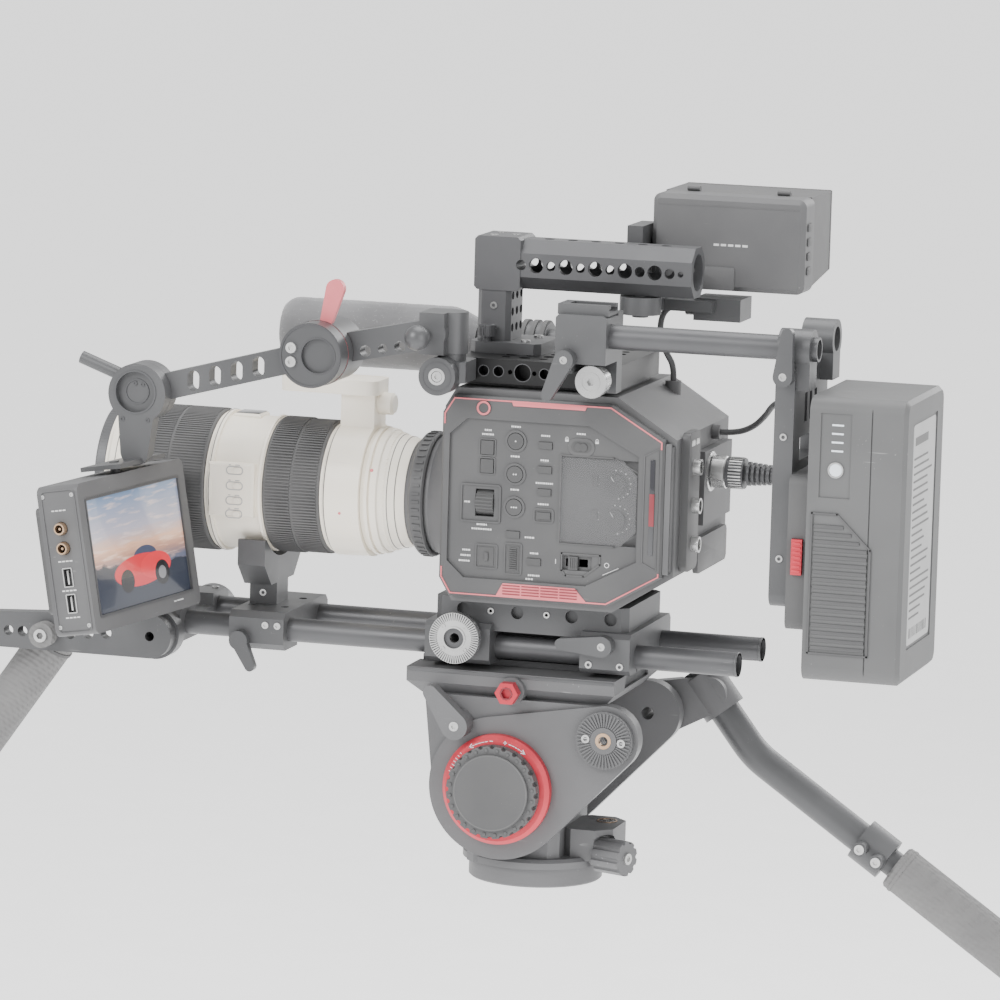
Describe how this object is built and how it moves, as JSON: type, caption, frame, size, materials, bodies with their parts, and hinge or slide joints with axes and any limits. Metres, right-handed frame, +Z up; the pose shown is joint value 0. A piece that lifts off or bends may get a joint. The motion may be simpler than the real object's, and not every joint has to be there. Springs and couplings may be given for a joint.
{
  "type": "cinema camera rig",
  "caption": "Digital cinema camera with telephoto lens, rod support, field monitor on an arm, top handle and rear battery, on a fluid head.",
  "frame": {"origin": "centre of the fluid head's flat seat, at the mouth of its tripod screw hole", "axes": "+X towards the rear of the camera along the rods, +Y away from the operator's side, +Z up"},
  "size_m": [0.7446, 0.3102, 0.5249],
  "materials": {
    "cast_metal": "matte",
    "dark_plastic": "matte",
    "red_metal": "satin",
    "anodised": "satin",
    "black_anodised": "satin",
    "steel": "brushed",
    "rubber": "matte",
    "white_enamel": "satin",
    "glass": "polished",
    "clear_plastic": "clear",
    "foam": "open foam"
  },
  "bodies": {
    "base": {"head_base": "cast_metal"},
    "pan_body": {"head_yoke": "cast_metal"},
    "pan_lock": {"pan_lock_knob": "dark_plastic"},
    "tilt_body": {"cradle": "cast_metal"},
    "drag_ring": {"tilt_drag_ring": "red_metal"},
    "dial": {"counterbalance_dial": "dark_plastic"},
    "plate_lock": {"plate_lock_lever": "dark_plastic"},
    "safety_button": {"plate_safety_button": "red_metal"},
    "bar": {"pan_bar_clamp": "anodised", "pan_bar": "anodised"},
    "bar_end": {"pan_bar_extension": "rubber"},
    "deck": {"slide_plate": "cast_metal", "baseplate": "anodised", "baseplate_rosettes": "steel", "rail_rods": "anodised", "camera_body": "dark_plastic", "side_panel": "dark_plastic", "lens_barrel": "white_enamel", "lens_glass": "glass", "top_plate": "black_anodised", "top_handle": "anodised", "side_rod_clamp": "anodised", "rear_rod": "anodised", "battery_bracket": "anodised", "battery_plate": "anodised", "arm_mount": "anodised", "microphone": "anodised", "windshield": "foam", "front_rod_clamp": "anodised", "xlr_plug": "rubber", "xlr_lead": "rubber", "lcd_lead": "rubber", "power_lead": "rubber"},
    "rod_lever": {"rod_clamp_lever": "anodised"},
    "keys": {"keypad": "dark_plastic"},
    "wheel": {"iris_wheel": "dark_plastic"},
    "knob_upper": {"audio_knob_upper": "dark_plastic"},
    "knob_lower": {"audio_knob_lower": "dark_plastic"},
    "sound_door": {"audio_door": "clear_plastic"},
    "power": {"power_switch": "dark_plastic"},
    "media_door": {"card_door": "dark_plastic"},
    "focus": {"focus_ring": "rubber"},
    "zoom": {"zoom_ring": "rubber"},
    "collar": {"lens_collar": "white_enamel"},
    "side_lever": {"side_clamp_lever": "anodised"},
    "side_screw": {"side_knob": "steel"},
    "rear_lever": {"bracket_lever": "anodised"},
    "release": {"battery_release": "red_metal"},
    "battery": {"battery_pack": "dark_plastic"},
    "arm_back": {"arm_rear": "anodised"},
    "arm_lever": {"arm_lock_lever": "red_metal"},
    "arm_fore": {"arm_front": "anodised"},
    "monitor_foot": {"monitor_bracket": "anodised"},
    "monitor": {"monitor_housing": "dark_plastic"},
    "screen_foot": {"lcd_bracket": "dark_plastic"},
    "screen": {"lcd_housing": "dark_plastic"},
    "shade": {"lcd_hood": "dark_plastic"},
    "support": {"lens_support": "anodised"},
    "arm_grip": {"grip_arm": "anodised"},
    "grip": {"hand_grip": "rubber"}
  },
  "joints": [
    {"name": "pan", "type": "hinge", "parent": "base", "child": "pan_body", "pos_m": [0, 0, 0.012], "axis": [0, 0, 1], "continuous": true},
    {"name": "tilt", "type": "hinge", "parent": "pan_body", "child": "tilt_body", "pos_m": [-0.01, 0, 0.064], "axis": [0, 1, 0], "range_deg": [-60, 45]},
    {"name": "pan_lock_turn", "type": "hinge", "parent": "pan_body", "child": "pan_lock", "pos_m": [0.04698, -0.0171, 0.02], "axis": [0.9397, -0.342, 0], "range_deg": [-180, 180]},
    {"name": "drag_turn", "type": "hinge", "parent": "tilt_body", "child": "drag_ring", "pos_m": [-0.01, -0.058, 0.064], "axis": [0, 1, 0], "range_deg": [-60, 60]},
    {"name": "counterbalance_turn", "type": "hinge", "parent": "tilt_body", "child": "dial", "pos_m": [-0.01, -0.066, 0.064], "axis": [0, 1, 0], "range_deg": [-150, 150]},
    {"name": "plate_lock_turn", "type": "hinge", "parent": "tilt_body", "child": "plate_lock", "pos_m": [-0.036, -0.06, 0.103], "axis": [0, 1, 0], "range_deg": [-35, 35]},
    {"name": "safety_press", "type": "slide", "parent": "tilt_body", "child": "safety_button", "axis": [0, 1, 0], "range_m": [0, 0.003], "stiffness_N_per_m": 300},
    {"name": "pan_bar_angle", "type": "hinge", "parent": "tilt_body", "child": "bar", "pos_m": [0.058, 0.064, 0.1], "axis": [0, 1, 0], "range_deg": [-30, 40]},
    {"name": "pan_bar_slide", "type": "slide", "parent": "bar", "child": "bar_end", "axis": [0.8275, 0, -0.5615], "range_m": [0, 0.05]},
    {"name": "plate_slide", "type": "slide", "parent": "tilt_body", "child": "deck", "axis": [1, 0, 0], "range_m": [-0.03, 0.03]},
    {"name": "rod_lever_turn", "type": "hinge", "parent": "deck", "child": "rod_lever", "pos_m": [0.054, -0.054, 0.158], "axis": [0, 1, 0], "range_deg": [-35, 35]},
    {"name": "keys_press", "type": "slide", "parent": "deck", "child": "keys", "axis": [0, 1, 0], "range_m": [0, 0.0008], "stiffness_N_per_m": 400},
    {"name": "iris_turn", "type": "hinge", "parent": "deck", "child": "wheel", "pos_m": [-0.022, -0.0535, 0.243], "axis": [1, 0, 0], "continuous": true},
    {"name": "sound_upper_turn", "type": "hinge", "parent": "deck", "child": "knob_upper", "pos_m": [0.061, -0.058, 0.2595], "axis": [0, 1, 0], "range_deg": [-150, 150]},
    {"name": "sound_lower_turn", "type": "hinge", "parent": "deck", "child": "knob_lower", "pos_m": [0.061, -0.058, 0.2378], "axis": [0, 1, 0], "range_deg": [-150, 150]},
    {"name": "sound_door_swing", "type": "hinge", "parent": "deck", "child": "sound_door", "pos_m": [0.0268, -0.0602, 0.2485], "axis": [0, 0, 1], "range_deg": [-110, 0]},
    {"name": "power_slide", "type": "slide", "parent": "deck", "child": "power", "axis": [1, 0, 0], "range_m": [0, 0.004]},
    {"name": "media_door_swing", "type": "hinge", "parent": "deck", "child": "media_door", "pos_m": [0.0958, -0.0575, 0.2465], "axis": [0, 0, 1], "range_deg": [0, 100]},
    {"name": "focus_turn", "type": "hinge", "parent": "deck", "child": "focus", "pos_m": [-0.233, 0, 0.237], "axis": [1, 0, 0], "range_deg": [-60, 60]},
    {"name": "zoom_turn", "type": "hinge", "parent": "deck", "child": "zoom", "pos_m": [-0.154, 0, 0.237], "axis": [1, 0, 0], "range_deg": [-35, 35]},
    {"name": "collar_turn", "type": "hinge", "parent": "deck", "child": "collar", "pos_m": [-0.121, 0, 0.237], "axis": [1, 0, 0], "range_deg": [-90, 90]},
    {"name": "side_lever_turn", "type": "hinge", "parent": "deck", "child": "side_lever", "pos_m": [0.036, -0.092, 0.339], "axis": [0, 1, 0], "range_deg": [-40, 40]},
    {"name": "side_screw_turn", "type": "hinge", "parent": "deck", "child": "side_screw", "pos_m": [0.05, -0.075, 0.325], "axis": [0, 1, 0], "range_deg": [-180, 180]},
    {"name": "rear_lever_turn", "type": "hinge", "parent": "deck", "child": "rear_lever", "pos_m": [0.172, -0.091, 0.337], "axis": [0, 1, 0], "range_deg": [-40, 25]},
    {"name": "release_press", "type": "slide", "parent": "deck", "child": "release", "axis": [0, 1, 0], "range_m": [0, 0.0015], "stiffness_N_per_m": 300},
    {"name": "battery_lift", "type": "slide", "parent": "deck", "child": "battery", "axis": [0, 0, 1], "range_m": [0, 0.05]},
    {"name": "arm_swing", "type": "hinge", "parent": "deck", "child": "arm_back", "pos_m": [-0.044, -0.066, 0.35], "axis": [0, 0, 1], "range_deg": [0, 70]},
    {"name": "arm_lever_turn", "type": "hinge", "parent": "arm_back", "child": "arm_lever", "pos_m": [-0.122, -0.088, 0.333], "axis": [0, 1, 0], "range_deg": [-40, 40]},
    {"name": "arm_elbow", "type": "hinge", "parent": "arm_back", "child": "arm_fore", "pos_m": [-0.122, -0.09, 0.333], "axis": [0, 1, 0], "range_deg": [0, 100]},
    {"name": "monitor_tilt", "type": "hinge", "parent": "arm_fore", "child": "monitor_foot", "pos_m": [-0.231, -0.105, 0.3035], "axis": [0, 1, 0], "range_deg": [-45, 60]},
    {"name": "monitor_turn", "type": "hinge", "parent": "monitor_foot", "child": "monitor", "pos_m": [-0.24075, -0.12263, 0.25526], "axis": [-0.172, 0.0242, 0.9848], "range_deg": [-30, 30]},
    {"name": "screen_swing", "type": "hinge", "parent": "deck", "child": "screen_foot", "pos_m": [0.057, 0, 0.36], "axis": [0, 0, 1], "range_deg": [-28, 15], "deforming": ["lcd_lead"]},
    {"name": "screen_tilt", "type": "hinge", "parent": "screen_foot", "child": "screen", "pos_m": [0.056, 0.052, 0.4], "axis": [1, 0, 0], "range_deg": [-15, 90]},
    {"name": "shade_fold", "type": "hinge", "parent": "screen", "child": "shade", "pos_m": [0.1, 0.064, 0.4318], "axis": [1, 0, 0], "range_deg": [0, 100]},
    {"name": "support_slide", "type": "slide", "parent": "deck", "child": "support", "axis": [1, 0, 0], "range_m": [-0.012, 0.03]},
    {"name": "grip_arm_angle", "type": "hinge", "parent": "deck", "child": "arm_grip", "pos_m": [-0.237, -0.06, 0.144], "axis": [0, 1, 0], "range_deg": [-60, 0]},
    {"name": "grip_angle", "type": "hinge", "parent": "arm_grip", "child": "grip", "pos_m": [-0.306, -0.052, 0.141], "axis": [0, 1, 0], "range_deg": [-45, 45]}
  ]
}
